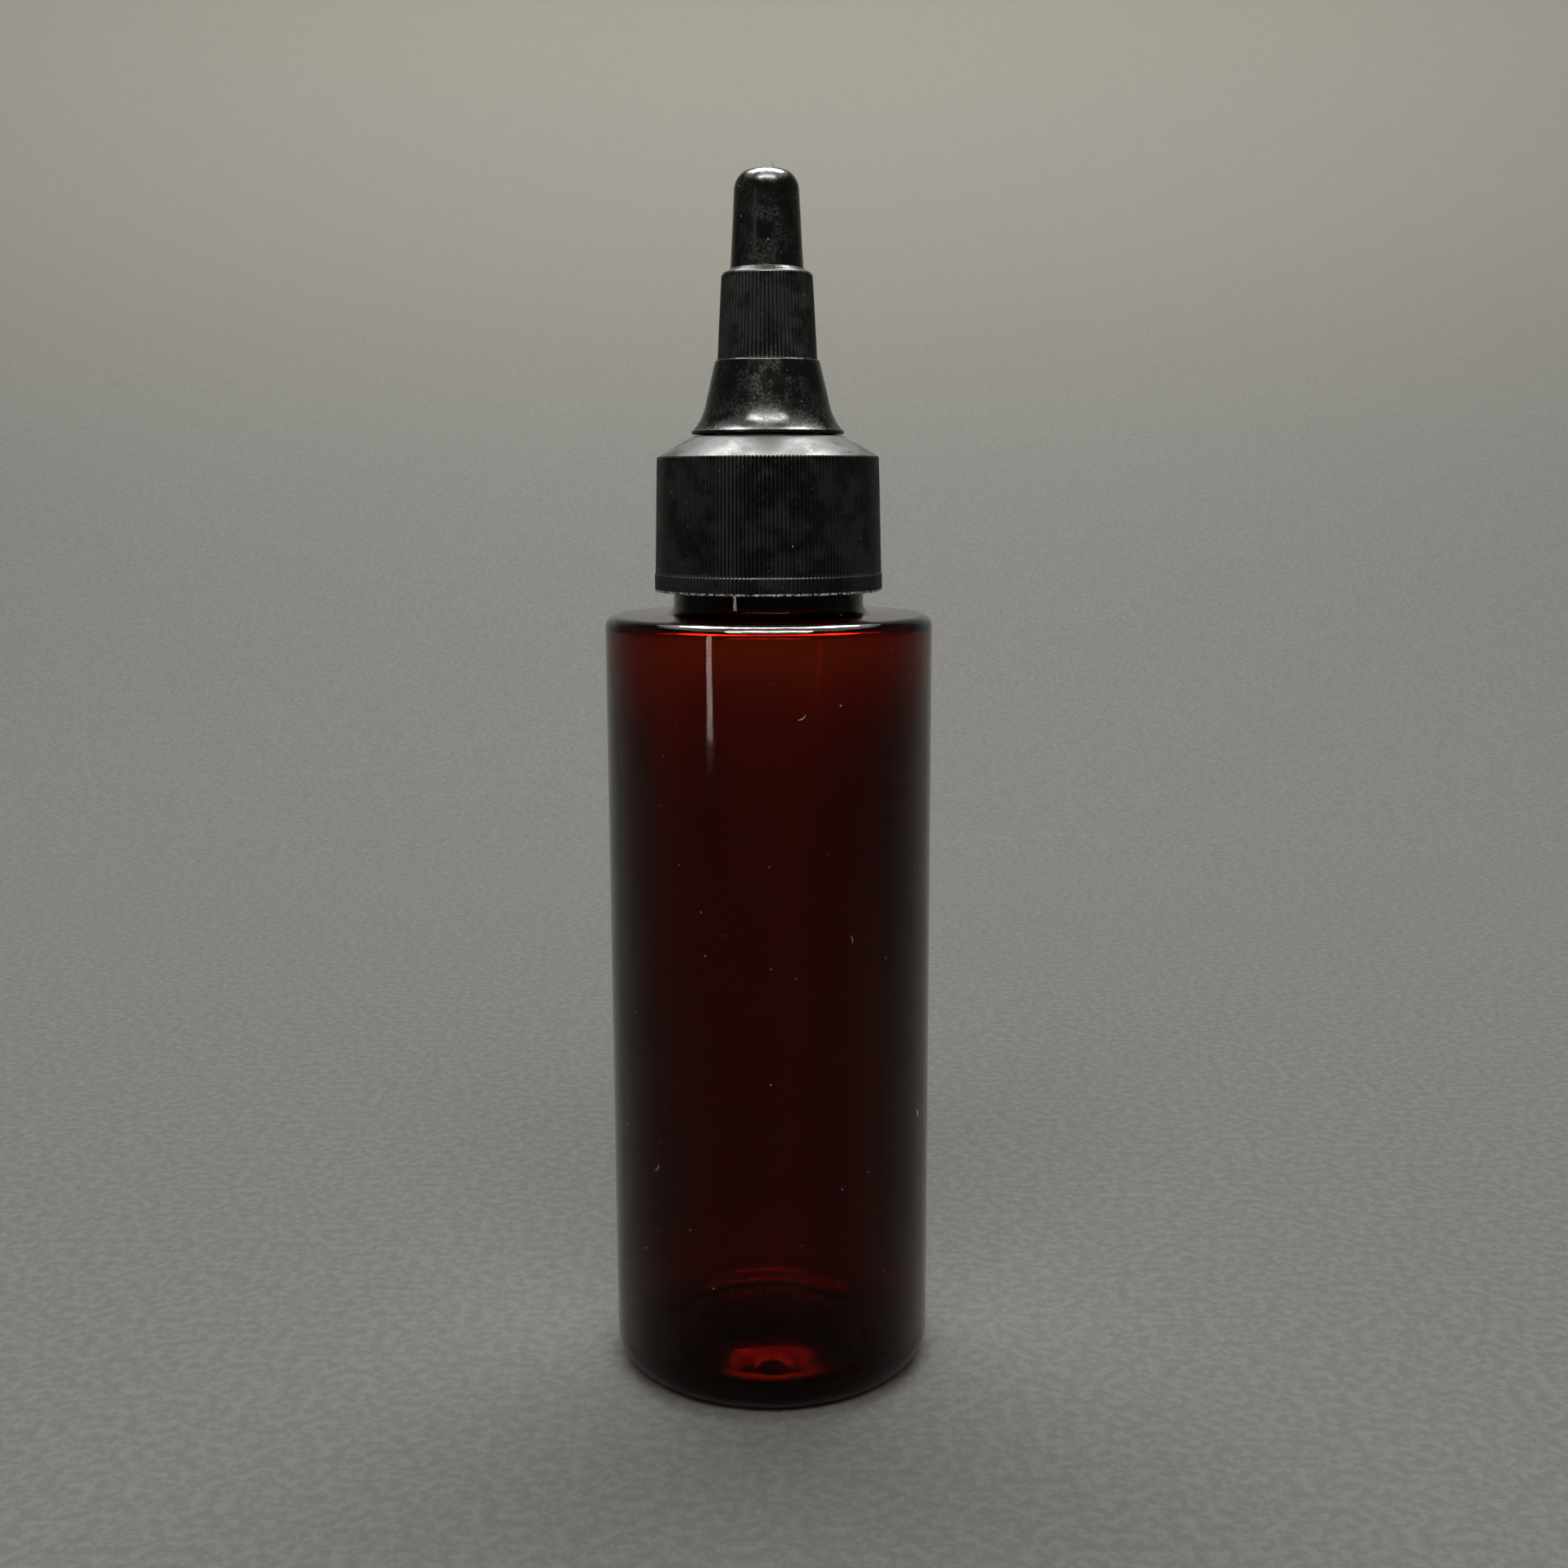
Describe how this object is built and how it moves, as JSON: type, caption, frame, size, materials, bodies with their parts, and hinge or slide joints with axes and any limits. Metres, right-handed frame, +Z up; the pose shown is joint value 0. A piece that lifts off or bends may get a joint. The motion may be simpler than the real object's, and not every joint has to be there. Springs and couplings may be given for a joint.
{
  "type": "glue applicator bottle",
  "caption": "Cylindrical amber squeeze bottle with a ribbed screw cap and a twist-open nozzle for applying glue.",
  "frame": {"origin": "centre of the foot on the surface that the bottle stands on", "axes": "+Z up along the bottle's axis, from the foot to the nozzle's tip"},
  "size_m": [0.0388, 0.0388, 0.1433],
  "materials": {
    "amber_pet": "clear glossy amber PET",
    "black_pp": "semi-gloss black polypropylene",
    "white_foam": "matte closed-cell polyethylene foam"
  },
  "bodies": {
    "bottle": {"bottle": "amber_pet"},
    "liner": {"liner": "white_foam"},
    "cap_base": {"cap_base": "black_pp"},
    "nozzle_mouth": {"nozzle_mouth": "black_pp"},
    "nozzle": {"nozzle": "black_pp"}
  },
  "joints": [
    {"name": "cap_lift", "type": "slide", "parent": "bottle", "child": "liner", "axis": [0, 0, 1], "range_m": [0, 0.01587]},
    {"name": "cap_turn", "type": "hinge", "parent": "liner", "child": "cap_base", "pos_m": [0, 0, 0.1101], "axis": [0, 0, 1], "range_deg": [0, 1800]},
    {"name": "nozzle_rise", "type": "slide", "parent": "cap_base", "child": "nozzle_mouth", "axis": [0, 0, 1], "range_m": [0, 0.0045]},
    {"name": "nozzle_turn", "type": "hinge", "parent": "nozzle_mouth", "child": "nozzle", "pos_m": [0, 0, 0.1403], "axis": [0, 0, 1], "range_deg": [0, 270]}
  ],
  "couplings": [
    {"joint": "cap_turn", "follows": "cap_lift", "rad_per_m": 1979},
    {"joint": "nozzle_turn", "follows": "nozzle_rise", "rad_per_m": 1047.2}
  ]
}
